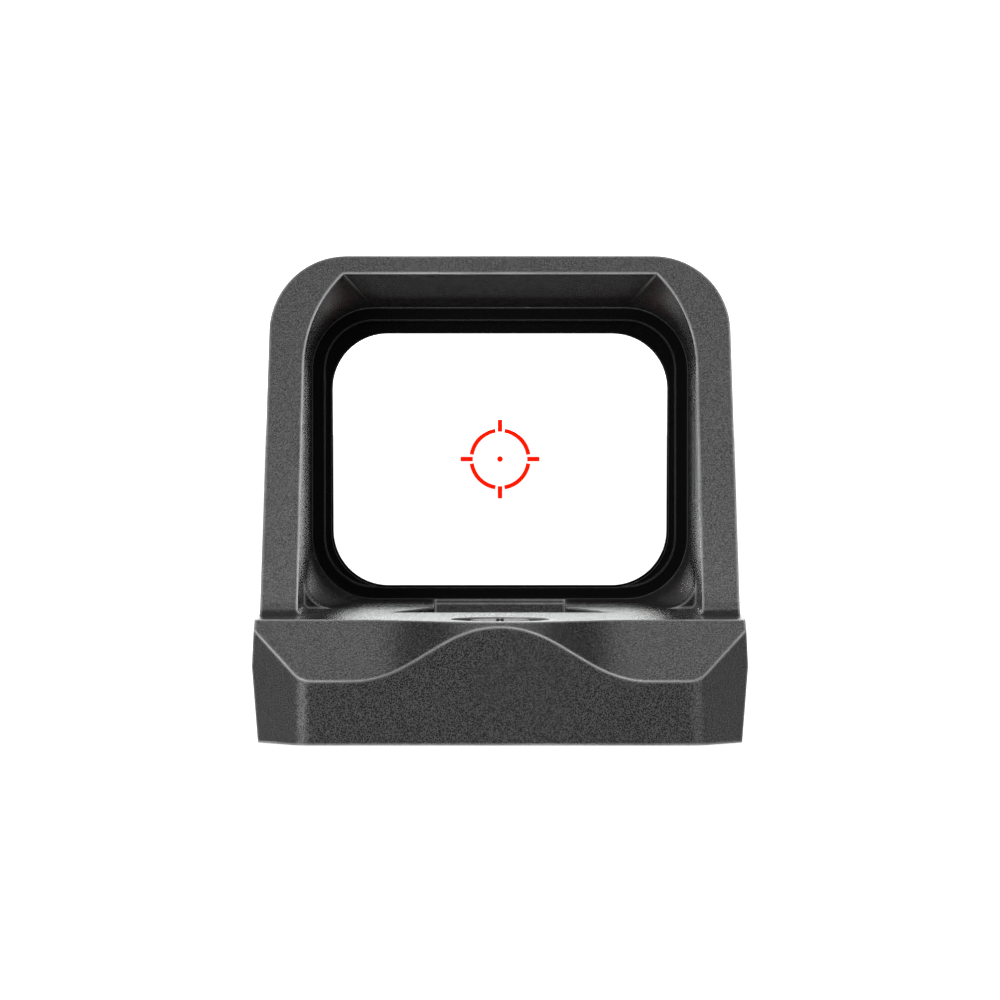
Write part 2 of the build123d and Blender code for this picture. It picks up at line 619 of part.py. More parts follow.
def switch_plunger(y):
    """Actuator that the stem presses into the switch."""
    with BuildPart() as plunger:
        draw_rod((SWITCH_X - 0.35, y, BUTTON_Z), (1, 0, 0), PLUNGER_R, 0.95)
    return plunger.part


finish(brightness_button(BUTTON_Y, True), "button_plus")
finish(brightness_button(-BUTTON_Y, False), "button_minus")
finish(switch_plunger(BUTTON_Y), "switch_plunger_plus")
finish(switch_plunger(-BUTTON_Y), "switch_plunger_minus")

# ---------------------------------------------------------------- adjusters


def adjuster_screw(top, direction, clip_depth, length):
    """Dial head with a coin slot and an o-ring groove, a shank with a clip groove, and the thread."""
    plane = Plane(origin=top, z_dir=direction)
    groove = HEAD_R - 2 * ORING_R + 0.04
    with BuildPart() as screw:
        with BuildSketch(Plane(origin=top, x_dir=plane.x_dir, z_dir=plane.y_dir)):
            with BuildLine():
                Polyline(
                    (0, 0),
                    (HEAD_R - 0.15, 0),
                    (HEAD_R, -0.15),
                    (HEAD_R, -ORING_DEPTH + ORING_R),
                    (groove, -ORING_DEPTH + ORING_R),
                    (groove, -ORING_DEPTH - ORING_R),
                    (HEAD_R, -ORING_DEPTH - ORING_R),
                    (HEAD_R, -HEAD_HEIGHT),
                    (SHANK_R, -HEAD_HEIGHT),
                    (SHANK_R, -clip_depth + RUNNING_FIT),
                    (THREAD_R - 0.1, -clip_depth + RUNNING_FIT),
                    (THREAD_R - 0.1, -clip_depth - CLIP_THICKNESS),
                    (THREAD_R, -clip_depth - CLIP_THICKNESS),
                    (THREAD_R, -length + 0.2),
                    (THREAD_R - 0.2, -length),
                    (0, -length),
                    close=True,
                )
            make_face()
        revolve(axis=Axis(top, direction))
        with BuildSketch(plane):
            Rectangle(0.5, 2 * HEAD_R)
        extrude(amount=0.5, mode=Mode.SUBTRACT)
    return screw.part


def adjuster_oring(top, direction):
    """Seal in the head's groove."""
    centre = Vector(*top) + Vector(*direction) * ORING_DEPTH
    with BuildPart() as ring:
        with Locations(Plane(origin=centre, z_dir=direction)):
            Torus(HEAD_R - ORING_R + 0.04, ORING_R)
    return ring.part


def retaining_clip(top, direction, clip_depth):
    """E-shaped clip in the shank's groove, open on one side."""
    with BuildPart() as clip:
        with BuildSketch(Plane(origin=Vector(*top) + Vector(*direction) * clip_depth, z_dir=direction)):
            Circle(CLIP_R)
            Circle(THREAD_R - 0.1, mode=Mode.SUBTRACT)
            with Locations((CLIP_R / 2, 0)):
                Rectangle(CLIP_R, 1.0, mode=Mode.SUBTRACT)
        extrude(amount=CLIP_THICKNESS)
    return clip.part


ELEVATION_TOP = (0, ELEVATION_Y, DECK_Z - HEAD_SINK)
WINDAGE_TOP = (WINDAGE_FACE_X - HEAD_SINK, WINDAGE_Y, WINDAGE_Z)
DOWN = (0, 0, -1)
INWARD = (-1, 0, 0)

finish(adjuster_screw(ELEVATION_TOP, DOWN, ELEVATION_CLIP_DEPTH, ELEVATION_SCREW_LENGTH), "elevation_dial")
finish(adjuster_oring(ELEVATION_TOP, DOWN), "elevation_oring")
finish(retaining_clip(ELEVATION_TOP, DOWN, ELEVATION_CLIP_DEPTH), "elevation_clip")
finish(adjuster_screw(WINDAGE_TOP, INWARD, WINDAGE_CLIP_DEPTH, WINDAGE_SCREW_LENGTH), "windage_dial")
finish(adjuster_oring(WINDAGE_TOP, INWARD), "windage_oring")
finish(retaining_clip(WINDAGE_TOP, INWARD, WINDAGE_CLIP_DEPTH), "windage_clip")

with BuildPart() as click_washers:
    for top, direction in ((ELEVATION_TOP, DOWN), (WINDAGE_TOP, INWARD)):
        washer_start = Vector(*top) + Vector(*direction) * (HEAD_HEIGHT + 0.01)
        with BuildSketch(Plane(origin=washer_start, z_dir=direction)):
            Circle(HEAD_R)
            Circle(SHANK_R + RUNNING_FIT, mode=Mode.SUBTRACT)
            with PolarLocations(HEAD_R, 12):
                Circle(0.18, mode=Mode.SUBTRACT)
        extrude(amount=WASHER_THICKNESS)
finish(click_washers.part, "click_washers")

# ---------------------------------------------------------------- emitter carriage
with BuildPart() as guide_pins:
    for pin_y, pin_z in (REAR_PIN, FRONT_PIN):
        draw_rod((-RIB_X - RIB_THICKNESS / 2, pin_y, pin_z), (1, 0, 0), PIN_R, 2 * RIB_X + RIB_THICKNESS)
finish(guide_pins.part, "guide_pins")

with BuildPart() as cross_slide:
    draw_block((-ARM_OUTER_X, ARM_OUTER_X), (-17.6, -10.3), (CARRIAGE_LOW_Z, 6.15))
    draw_block((-ARM_INNER_X, ARM_INNER_X), (-18, -10), (CARRIAGE_LOW_Z + 0.6, 7), Mode.SUBTRACT)
    draw_block((-ARM_INNER_X, ARM_INNER_X), (-18, -16), (0, 2), Mode.SUBTRACT)
    draw_block((-ARM_INNER_X, ARM_INNER_X), (-11.7, -10), (0, 2), Mode.SUBTRACT)
    for key_x in (-ARM_INNER_X + KEY_DEPTH / 2, ARM_INNER_X - KEY_DEPTH / 2):
        key_range = (key_x - KEY_DEPTH / 2, key_x + KEY_DEPTH / 2)
        draw_block(key_range, (-14.6, -13.4), (CARRIAGE_LOW_Z + 0.5, 5.6))
    for pin_y, pin_z in (REAR_PIN, FRONT_PIN):
        draw_rod((-7, pin_y, pin_z), (1, 0, 0), PIN_R + RUNNING_FIT, 14, Mode.SUBTRACT)
    draw_rod((ARM_INNER_X, WINDAGE_Y, WINDAGE_Z), (1, 0, 0), THREAD_R + RUNNING_FIT, 4, Mode.SUBTRACT)
finish(cross_slide.part, "cross_slide")

BLOCK_X = ARM_INNER_X - RUNNING_FIT
with BuildPart() as emitter_block:
    draw_block((-BLOCK_X, BLOCK_X), (-15.9, -11.9), (BLOCK_LOW_Z, 5.8))
    draw_block((-1.9, 1.9), (-13.2, -11.2), (5.2, 6.65))
    draw_block((-3.0, 3.0), (-20.8, -15.8), (BLOCK_LOW_Z, TONGUE_HIGH_Z))
    for side in (-1, 1):
        groove = sorted((side * (BLOCK_X - KEY_DEPTH), side * (BLOCK_X + 1)))
        draw_block(groove, (-14.66, -13.34), (0, 7), Mode.SUBTRACT)
    # Slot for the nut's flange, with long holes so that the block can cross sideways.
    draw_block((-2.2, 2.2), (-21, -16.5), (NUT_Z[0] - RUNNING_FIT, NUT_Z[1] + RUNNING_FIT), Mode.SUBTRACT)
    with BuildSketch(Plane.XY.offset(NUT_Z[1])):
        with Locations((0, ELEVATION_Y)):
            SlotOverall(2.6, 1.9)
    extrude(amount=2, mode=Mode.SUBTRACT)
    with BuildSketch(Plane.XY.offset(NUT_Z[0])):
        with Locations((0, ELEVATION_Y)):
            SlotOverall(3.4, 2.7)
    extrude(amount=-2, mode=Mode.SUBTRACT)
finish(emitter_block.part, "emitter_block")

with BuildPart() as elevation_nut:
    draw_block((-1.8, 1.8), (ELEVATION_Y - 1.7, ELEVATION_Y + 1.7), NUT_Z)
    draw_rod((0, ELEVATION_Y, NUT_Z[0]), DOWN, 1.25, 0.7)
    draw_rod((0, ELEVATION_Y, NUT_Z[1] + 1), DOWN, THREAD_R + RUNNING_FIT, 4, Mode.SUBTRACT)
finish(elevation_nut.part, "elevation_nut")

with BuildPart() as led_board:
    draw_block((-1.8, 1.8), (-11.2, -10.8), (5.3, 6.7))
finish(led_board.part, "led_board")

with BuildPart() as led_chip:
    draw_block((-0.5, 0.5), (-10.8, -10.5), (LED_Z - 0.3, LED_Z + 0.3))
finish(led_chip.part, "led_chip")

with BuildPart() as reticle_mask:
    with BuildSketch(across(-10.4)):
        with Locations((0, LED_Z)):
            Rectangle(1.6, 1.2)
            Circle(0.04, mode=Mode.SUBTRACT)
            with PolarLocations(0.3, 4):
                Rectangle(0.14, 0.05, mode=Mode.SUBTRACT)
    extrude(amount=0.1)
finish(reticle_mask.part, "reticle_mask")

with BuildPart() as emitter_flex:
    draw_block((-10.6, -1.68), (-10.2, -10.08), (5.0, 6.0))
    draw_block((-10.6, -9.6), (-10.2, -10.08), (BOARD_Z[1], 5.5))
    draw_block((-1.8, -1.68), (-10.8, -10.1), (5.0, 6.0))
finish(emitter_flex.part, "emitter_flex")

with BuildPart() as elevation_spring:
    draw_coil((0, ELEVATION_Y, TONGUE_HIGH_Z + 0.15), (0, 0, 1), 1.15, 0.1, 0.75, 0.3)
finish(elevation_spring.part, "elevation_spring")

with BuildPart() as windage_spring:
    draw_coil((-7.06, WINDAGE_Y, WINDAGE_Z), (1, 0, 0), 1.3, 0.12, 0.9, 0.36)
finish(windage_spring.part, "windage_spring")

# ---------------------------------------------------------------- power
with BuildPart() as battery_cell:
    with BuildSketch(Plane.XY.offset(CELL_LOW_Z)):
        with Locations((CELL_X, CELL_Y)):
            Circle(CELL_R - 0.9)
    extrude(amount=CELL_THICKNESS)
    with BuildSketch(Plane.XY.offset(CELL_LOW_Z + 0.3)):
        with Locations((CELL_X, CELL_Y)):
            Circle(CELL_R)
    extrude(amount=CELL_THICKNESS - 0.3)
finish(battery_cell.part, "battery_cell")

with BuildPart() as drawer_door:
    draw_block(
        (DOOR_INNER_X, SIDE_X + 1),
        (DOOR_REAR_Y + 0.05, DOOR_FRONT_Y - 0.05),
        (DOOR_LOW_Z + 0.05, DOOR_HIGH_Z - 0.05),
    )
    add(envelope.part, mode=Mode.INTERSECT)

with BuildPart() as battery_tray:
    tray_y = (POCKET_REAR_Y + 0.07, POCKET_FRONT_Y - 0.07)
    draw_block((-4.0, DOOR_INNER_X + 0.1), tray_y, (TRAY_LOW_Z, 4.62))
    with BuildSketch(Plane.XY.offset(CELL_LOW_Z - 0.02)):
        with Locations((CELL_X, CELL_Y)):
            Circle(CELL_R + 0.1)
    extrude(amount=5, mode=Mode.SUBTRACT)
    draw_block((-5, 5), NEGATIVE_SLOT_Y, (0, CELL_LOW_Z), Mode.SUBTRACT)
    add(drawer_door.part)
    draw_rod((LOCK_HEAD_LOW_X, LOCK_Y, LOCK_Z), (1, 0, 0), LOCK_HEAD_R + RUNNING_FIT, 2, Mode.SUBTRACT)
    draw_rod((DOOR_INNER_X - 0.1, LOCK_Y, LOCK_Z), (1, 0, 0), LOCK_R + RUNNING_FIT, 2, Mode.SUBTRACT)
finish(battery_tray.part, "battery_tray")

with BuildPart() as tray_seal:
    draw_block((13.9, DOOR_INNER_X), (-9.5, 8.5), (0.7, 5.15))
    draw_block((13, 15), (-9.06, 8.06), (1.03, 4.65), Mode.SUBTRACT)
finish(tray_seal.part, "tray_seal")

with BuildPart() as tray_screw:
    draw_rod((LOCK_HEAD_LOW_X, LOCK_Y, LOCK_Z), (1, 0, 0), LOCK_HEAD_R, 0.72)
    draw_rod((LOCK_HEAD_LOW_X, LOCK_Y, LOCK_Z), INWARD, LOCK_R, 4.6)
    draw_block((15.25, 16), (LOCK_Y - 0.25, LOCK_Y + 0.25), (LOCK_Z - 2, LOCK_Z + 2), Mode.SUBTRACT)
finish(tray_screw.part, "tray_screw")

with BuildPart() as battery_contact_positive:
    draw_block((-7.2, -4.6), (-1.5, 0.5), (BOARD_Z[1], BOARD_Z[1] + 0.2))
    draw_block((-4.8, -4.6), (-1.5, 0.5), (BOARD_Z[1], 4.0))
finish(battery_contact_positive.part, "battery_contact_positive")

with BuildPart() as battery_contact_negative:
    draw_block((-7.2, -6.0), (2.2, 3.8), (BOARD_Z[1], BOARD_Z[1] + 0.15))
    draw_block((-6.15, -6.0), (2.2, 3.8), (1.1, BOARD_Z[1] + 0.15))
    draw_block((-6.15, 3.0), (2.2, 3.8), (1.1, 1.25))
    draw_block((2.6, 3.0), (2.2, 3.8), (1.1, 1.4))
finish(battery_contact_negative.part, "battery_contact_negative")
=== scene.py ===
"""Looks of the red dot finder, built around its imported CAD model. Metres, +Z up, the eye on the -Y side."""
import json
from math import cos, pi, radians, sin

import bmesh
import bpy
from mathutils import Matrix, Vector


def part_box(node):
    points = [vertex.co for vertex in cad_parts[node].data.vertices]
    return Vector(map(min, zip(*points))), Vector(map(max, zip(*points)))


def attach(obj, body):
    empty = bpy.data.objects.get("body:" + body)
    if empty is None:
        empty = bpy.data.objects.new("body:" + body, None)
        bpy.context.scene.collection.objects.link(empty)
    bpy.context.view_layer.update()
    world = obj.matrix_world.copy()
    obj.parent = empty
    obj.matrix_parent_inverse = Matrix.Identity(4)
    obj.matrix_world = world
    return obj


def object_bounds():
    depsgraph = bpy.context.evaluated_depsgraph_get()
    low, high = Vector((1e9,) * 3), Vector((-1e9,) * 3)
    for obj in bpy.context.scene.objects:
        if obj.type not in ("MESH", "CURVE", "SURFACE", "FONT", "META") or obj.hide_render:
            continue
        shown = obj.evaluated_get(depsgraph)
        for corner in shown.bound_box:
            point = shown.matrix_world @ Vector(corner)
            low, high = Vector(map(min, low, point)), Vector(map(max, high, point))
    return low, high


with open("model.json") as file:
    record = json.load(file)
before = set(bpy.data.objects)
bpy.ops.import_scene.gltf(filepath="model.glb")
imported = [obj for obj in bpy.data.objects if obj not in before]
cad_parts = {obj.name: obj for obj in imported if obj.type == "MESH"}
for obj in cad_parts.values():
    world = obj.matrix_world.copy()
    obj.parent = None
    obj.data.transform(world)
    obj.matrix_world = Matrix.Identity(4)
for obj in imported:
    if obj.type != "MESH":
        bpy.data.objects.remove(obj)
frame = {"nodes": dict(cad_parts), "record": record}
cad_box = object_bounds()
NODES = frame["nodes"]
SLOT_OF = {part["node"]: part["material_slot"] for part in frame["record"]["subparts"]}

# ---------------------------------------------------------------- camera
CAMERA_DISTANCE = 0.3
CAMERA_HEIGHT = 0.02145
CAMERA_PITCH = 1.15
LENS_MM = 172.2

eye_side_y = cad_box[0][1]
camera_data = bpy.data.cameras.new("camera")
camera_data.lens = LENS_MM
camera_data.sensor_width = 36.0
camera_data.clip_start = 0.01
camera_data.clip_end = 20.0
camera = bpy.data.objects.new("camera", camera_data)
camera.location = (0.0, eye_side_y - CAMERA_DISTANCE, CAMERA_HEIGHT)
camera.rotation_euler = (radians(90.0 - CAMERA_PITCH), 0.0, 0.0)
bpy.context.scene.collection.objects.link(camera)
bpy.context.scene.camera = camera


# ---------------------------------------------------------------- node helpers
def new_material(name):
    """Node material, with its tree and its principled shader."""
    material = bpy.data.materials.new(name)
    material.use_nodes = True
    tree = material.node_tree
    shader = tree.nodes["Principled BSDF"]
    return material, tree, shader


def add_node(tree, kind, **inputs):
    """Node with its sockets set by name."""
    node = tree.nodes.new(kind)
    for key, value in inputs.items():
        node.inputs[key.replace("_", " ")].default_value = value
    return node


def noise(tree, scale, detail=2.0, roughness=0.5):
    """Object-space noise, so that a pattern keeps to its piece."""
    coordinates = tree.nodes.new("ShaderNodeTexCoord")
    node = add_node(tree, "ShaderNodeTexNoise", Scale=scale, Detail=detail, Roughness=roughness)
    tree.links.new(coordinates.outputs["Object"], node.inputs["Vector"])
    return node.outputs["Fac"]


def ramp(tree, source, stops):
    """Colour ramp fed by source. stops are (position, value) or (position, colour)."""
    node = tree.nodes.new("ShaderNodeValToRGB")
    elements = node.color_ramp.elements
    while len(elements) < len(stops):
        elements.new(0.5)
    for element, (position, value) in zip(elements, stops):
        element.position = position
        colour = value if isinstance(value, tuple) else (value, value, value)
        element.color = (*colour, 1.0)
    tree.links.new(source, node.inputs["Fac"])
    return node.outputs["Color"]


def bump(tree, shader, height, distance):
    """Bump on the shader's normal, distance deep."""
    node = add_node(tree, "ShaderNodeBump", Strength=1.0, Distance=distance)
    tree.links.new(height, node.inputs["Height"])
    tree.links.new(node.outputs["Normal"], shader.inputs["Normal"])


def edge_mask(tree, radius, low, high):
    """1 along convex edges, where the softened normal leaves the true one, and 0 elsewhere."""
    soft = add_node(tree, "ShaderNodeBevel", Radius=radius)
    soft.samples = 4
    true = tree.nodes.new("ShaderNodeNewGeometry")
    agreement = tree.nodes.new("ShaderNodeVectorMath")
    agreement.operation = "DOT_PRODUCT"
    tree.links.new(soft.outputs["Normal"], agreement.inputs[0])
    tree.links.new(true.outputs["Normal"], agreement.inputs[1])
    return ramp(tree, agreement.outputs["Value"], [(low, 1.0), (high, 0.0)])


def mix_colour(tree, factor, first, second):
    """Colour that runs from first to second with factor. Either may be a socket or a colour."""
    node = tree.nodes.new("ShaderNodeMix")
    node.data_type = "RGBA"
    tree.links.new(factor, node.inputs[0])
    for value, socket in ((first, node.inputs[6]), (second, node.inputs[7])):
        if isinstance(value, tuple):
            socket.default_value = (*value, 1.0)
        else:
            tree.links.new(value, socket)
    return node.outputs[2]


# ---------------------------------------------------------------- materials
PATCH_SCALE = 160.0
# Width of the painted highlight along the housing's convex edges.
EDGE_HIGHLIGHT_RADIUS = 0.00028
SKIMMING_ROUGHNESS = (0.17, 0.17, 0.17)
ANODISED_IOR = 1.33


def anodised(name, dark, light, edge_highlight, grain_size, grain_depth, rough_low, rough_high):
    """Bead-blasted black anodising: pitted grain, uneven dye and lighter edges that are a painted highlight.
    """
    material, tree, shader = new_material(name)
    grain = noise(tree, 1 / grain_size, 3.0, 0.65)
    patches = noise(tree, PATCH_SCALE, 3.0, 0.55)
    dye = ramp(tree, grain, [(0.43, dark), (0.6, light)])
    # Convex edges take a lighter colour, varied in patches: a painted highlight where rounded edges would
    # catch the light.
    edges = edge_mask(tree, EDGE_HIGHLIGHT_RADIUS, 0.93, 0.995)
    painted_edge_highlight = ramp(tree, patches, [(0.35, 0.6 * edge_highlight), (0.65, edge_highlight)])
    tree.links.new(mix_colour(tree, edges, dye, painted_edge_highlight), shader.inputs["Base Color"])
    blasted = ramp(tree, patches, [(0.3, rough_low), (0.7, rough_high)])
    gleam = ramp(tree, grain, [(0.4, 0.32), (0.62, 0.7)])
    tree.links.new(gleam, shader.inputs["Specular IOR Level"])
    facing = add_node(tree, "ShaderNodeLayerWeight", Blend=0.3)
    skimming = ramp(tree, facing.outputs["Facing"], [(0.6, 0.0), (0.95, 1.0)])
    tree.links.new(mix_colour(tree, skimming, blasted, SKIMMING_ROUGHNESS), shader.inputs["Roughness"])
    shader.inputs["IOR"].default_value = ANODISED_IOR
    bump(tree, shader, grain, grain_depth)
    return material


PAINT_GRAIN_SCALE = 8000.0
PAINT_GRAIN_DEPTH = 0.000003
# Width and colour of the painted highlight on the lens ring's rims and steps.
RIM_HIGHLIGHT_RADIUS = 0.00012
RIM_HIGHLIGHT_COLOUR = (0.035, 0.035, 0.035)


def matt_black(name):
    """Flat black paint of the lens ring, with a thin painted highlight along its rims."""
    material, tree, shader = new_material(name)
    grain = noise(tree, PAINT_GRAIN_SCALE, 3.0, 0.5)
    paint = ramp(tree, grain, [(0.3, 0.0015), (0.7, 0.003)])
    # The rims and steps are coloured lighter, which is a painted highlight along the edges.
    edges = edge_mask(tree, RIM_HIGHLIGHT_RADIUS, 0.9, 0.99)
    tree.links.new(mix_colour(tree, edges, paint, RIM_HIGHLIGHT_COLOUR), shader.inputs["Base Color"])
    tree.links.new(ramp(tree, grain, [(0.3, 0.5), (0.7, 0.65)]), shader.inputs["Roughness"])
    shader.inputs["Specular IOR Level"].default_value = 0.0
    bump(tree, shader, grain, PAINT_GRAIN_DEPTH)
    return material


def plain_metal(name, colour, roughness, grain_size, grain_depth):
    """Machined metal with fine tool grain."""
    material, tree, shader = new_material(name)
    grain = noise(tree, 1 / grain_size, 4.0, 0.6)
    shade = tuple(0.8 * c for c in colour)
    tree.links.new(ramp(tree, grain, [(0.35, shade), (0.65, colour)]), shader.inputs["Base Color"])
    polish = ramp(tree, grain, [(0.3, roughness * 0.8), (0.7, roughness * 1.2)])
    tree.links.new(polish, shader.inputs["Roughness"])
    shader.inputs["Metallic"].default_value = 1.0
    bump(tree, shader, grain, grain_depth)
    return material


def plastic(name, colour, roughness, grain_size, grain_depth):
    """Moulded or painted surface."""
    material, tree, shader = new_material(name)
    grain = noise(tree, 1 / grain_size, 3.0, 0.5)
    shade = tuple(0.75 * c for c in colour)
    tree.links.new(ramp(tree, grain, [(0.3, shade), (0.7, colour)]), shader.inputs["Base Color"])
    sheen = ramp(tree, grain, [(0.3, roughness * 0.85), (0.7, roughness)])
    tree.links.new(sheen, shader.inputs["Roughness"])
    bump(tree, shader, grain, grain_depth)
    return material


COATING_ROUGHNESS = 0.02
COATING_IOR = 1.12


def glass(name, tint, coating):
    """Clear glass seen straight on, with a coating that shows at the edges."""
    material = bpy.data.materials.new(name)
    material.use_nodes = True
    tree = material.node_tree
    tree.nodes.clear()
    output = tree.nodes.new("ShaderNodeOutputMaterial")
    clear = add_node(tree, "ShaderNodeBsdfTransparent", Color=(*tint, 1.0))
    shine = add_node(tree, "ShaderNodeBsdfGlossy", Color=(*coating, 1.0), Roughness=COATING_ROUGHNESS)
    facing = add_node(tree, "ShaderNodeFresnel", IOR=COATING_IOR)
    mix = tree.nodes.new("ShaderNodeMixShader")
    tree.links.new(facing.outputs["Fac"], mix.inputs["Fac"])
    tree.links.new(clear.outputs["BSDF"], mix.inputs[1])
    tree.links.new(shine.outputs["BSDF"], mix.inputs[2])
    tree.links.new(mix.outputs["Shader"], output.inputs["Surface"])
    return material


MATERIALS = {
    "anodised_housing": anodised(
        "anodised_housing",
        dark=0.001,
        light=0.02,
        # Brightness of the painted highlight along the edges.
        edge_highlight=0.19,
        grain_size=0.000075,
        grain_depth=0.00001,
        rough_low=0.23,
        rough_high=0.29,
    ),
    "black_ring": matt_black("black_ring"),
    "lens_glass": glass("lens_glass", (0.99, 1.0, 0.995), (0.9, 0.55, 0.5)),
    "window_glass": glass("window_glass", (0.97, 0.98, 1.0), (0.6, 0.7, 0.9)),
    "seal_rubber": plastic("seal_rubber", (0.012, 0.012, 0.012), 0.75, 0.0001, 0.000005),
    "button_rubber": plastic("button_rubber", (0.02, 0.02, 0.02), 0.65, 0.0001, 0.00001),
    "black_steel": plain_metal("black_steel", (0.03, 0.03, 0.032), 0.38, 0.00012, 0.000004),
    "spring_steel": plain_metal("spring_steel", (0.55, 0.55, 0.56), 0.25, 0.0001, 0.000003),
    "slide_metal": plain_metal("slide_metal", (0.42, 0.42, 0.43), 0.35, 0.00015, 0.000004),
    "nut_brass": plain_metal("nut_brass", (0.70, 0.53, 0.25), 0.3, 0.00015, 0.000003),
    "circuit_board": plastic("circuit_board", (0.02, 0.16, 0.07), 0.35, 0.0004, 0.000004),
    "chip_resin": plastic("chip_resin", (0.03, 0.03, 0.03), 0.5, 0.0001, 0.000004),
    "flex_film": plastic("flex_film", (0.45, 0.2, 0.03), 0.3, 0.0004, 0.000004),
    "led_resin": plastic("led_resin", (0.75, 0.25, 0.12), 0.2, 0.0002, 0.000002),
    "mask_foil": plain_metal("mask_foil", (0.08, 0.08, 0.08), 0.3, 0.0001, 0.000002),
    "contact_metal": plain_metal("contact_metal", (0.72, 0.66, 0.45), 0.25, 0.0001, 0.000003),
    "cell_steel": plain_metal("cell_steel", (0.8, 0.8, 0.81), 0.34, 0.0003, 0.000003),
}
for name, node in NODES.items():
    node.data.materials.clear()
    node.data.materials.append(MATERIALS[SLOT_OF[name]])

# ---------------------------------------------------------------- softened edges
EDGE_WIDTH = 0.0002
EDGE_SEGMENTS = 2
SOFTENED_FROM_ANGLE = radians(25)
for name in ("housing", "keypad_cover", "battery_tray"):
    edge = NODES[name].modifiers.new("soft_edges", "BEVEL")
    edge.width = EDGE_WIDTH
    edge.segments = EDGE_SEGMENTS
    edge.limit_method = "ANGLE"
    edge.angle_limit = SOFTENED_FROM_ANGLE
    edge.harden_normals = True


# ---------------------------------------------------------------- reticle
def ring_arc(mesh, radius, half_width, start, end, steps=24):
    """Flat arc of a ring in the XZ plane."""
    pairs = []
    for step in range(steps + 1):
        angle = start + (end - start) * step / steps
        ray = Vector((cos(angle), 0.0, sin(angle)))
        inner = mesh.verts.new(ray * (radius - half_width))
        outer = mesh.verts.new(ray * (radius + half_width))
        pairs.append((inner, outer))
    for (inner, outer), (next_inner, next_outer) in zip(pairs, pairs[1:]):
        mesh.faces.new((inner, outer, next_outer, next_inner))


def bar(mesh, low, high):
    """Flat rectangle in the XZ plane."""
    corners = [(low[0], low[1]), (high[0], low[1]), (high[0], high[1]), (low[0], high[1])]
    mesh.faces.new([mesh.verts.new((x, 0.0, z)) for x, z in corners])


RETICLE_SETBACK = 0.0009
RETICLE_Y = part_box("lens_bezel")[0][1] + RETICLE_SETBACK
RETICLE_Z = 0.01766
RING_RADIUS, RING_HALF = 0.001973, 0.000145
TICK_IN, TICK_OUT, TICK_HALF = 0.00187, 0.002715, 0.000158
DOT_RADIUS = 0.000195
GAP = radians(9.0)
LIT_RED = (1.0, 0.01, 0.0, 1.0)
UNLIT = (0.0, 0.0, 0.0, 1.0)


def lit_red(name):
    """Material that only glows."""
    material, _, shader = new_material(name)
    shader.inputs["Base Color"].default_value = UNLIT
    shader.inputs["Emission Color"].default_value = LIT_RED
    shader.inputs["Emission Strength"].default_value = 1.0
    shader.inputs["Specular IOR Level"].default_value = 0.0
    return material


def reticle_piece(name):
    """Lit figure: a ring in four arcs, a tick across each gap, and a dot in the middle."""
    mesh = bmesh.new()
    for quarter in range(4):
        ring_arc(mesh, RING_RADIUS, RING_HALF, quarter * pi / 2 + GAP, (quarter + 1) * pi / 2 - GAP)
    for near, far in ((TICK_IN, TICK_OUT), (-TICK_OUT, -TICK_IN)):
        bar(mesh, (near, -TICK_HALF), (far, TICK_HALF))
        bar(mesh, (-TICK_HALF, near), (TICK_HALF, far))
    upright = Matrix.Rotation(pi / 2, 4, "X")
    bmesh.ops.create_circle(mesh, cap_ends=True, segments=32, radius=DOT_RADIUS, matrix=upright)
    data = bpy.data.meshes.new(name)
    mesh.to_mesh(data)
    mesh.free()
    for vertex in data.vertices:
        vertex.co += Vector((0.0, RETICLE_Y, RETICLE_Z))
    data.materials.append(lit_red("reticle_light"))
    piece = bpy.data.objects.new(name, data)
    bpy.context.scene.collection.objects.link(piece)
    return piece


reticle = reticle_piece("reticle")
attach(reticle, "base")

# ---------------------------------------------------------------- painted marks
MARK_HEIGHT = 0.00001
MARK_COUNT = 20
LONG_MARK_EVERY = 5
# The next four values are shares of the dial's radius.
MARKS_END = 0.9
LONG_MARK, SHORT_MARK = 0.16, 0.1
MARK_HALF_WIDTH = 0.018
DECK_MARK_X = (-0.00045, 0.00055)
DECK_MARK_FROM_DIAL = 0.0049
DECK_MARK_LIFT = 0.00006
DECK_MARK_HALF_LENGTH, DECK_MARK_HALF_WIDTH = 0.0006, 0.00012


def painted(name, mesh, body):
    """Thin white paint on a moving or fixed body."""
    data = bpy.data.meshes.new(name)
    mesh.to_mesh(data)
    mesh.free()
    data.materials.append(MARK_PAINT)
    piece = bpy.data.objects.new(name, data)
    bpy.context.scene.collection.objects.link(piece)
    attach(piece, body)


def quad(mesh, centre, along, side, half_length, half_width):
    """Flat bar about centre, lying along one direction."""
    corners = ((-1, -1), (1, -1), (1, 1), (-1, 1))
    spots = [centre + along * (a * half_length) + side * (b * half_width) for a, b in corners]
    mesh.faces.new([mesh.verts.new(spot) for spot in spots])


def dial_marks(name, node, body, axis, first, second):
    """Graduations around a dial's rim, on its outer face."""
    low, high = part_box(node)
    radius = (high[1] - low[1]) / 2
    centre = (Vector(low) + Vector(high)) / 2
    face = high[0] if axis.x else high[2]
    centre = centre - axis * centre.dot(axis) + axis * (face + MARK_HEIGHT)
    mesh = bmesh.new()
    for step in range(MARK_COUNT):
        angle = 2 * pi * step / MARK_COUNT
        out = first * cos(angle) + second * sin(angle)
        around = second * cos(angle) - first * sin(angle)
        length = LONG_MARK if step % LONG_MARK_EVERY == 0 else SHORT_MARK
        middle = centre + out * (radius * (MARKS_END - length))
        quad(mesh, middle, out, around, radius * length, radius * MARK_HALF_WIDTH)
    painted(name, mesh, body)


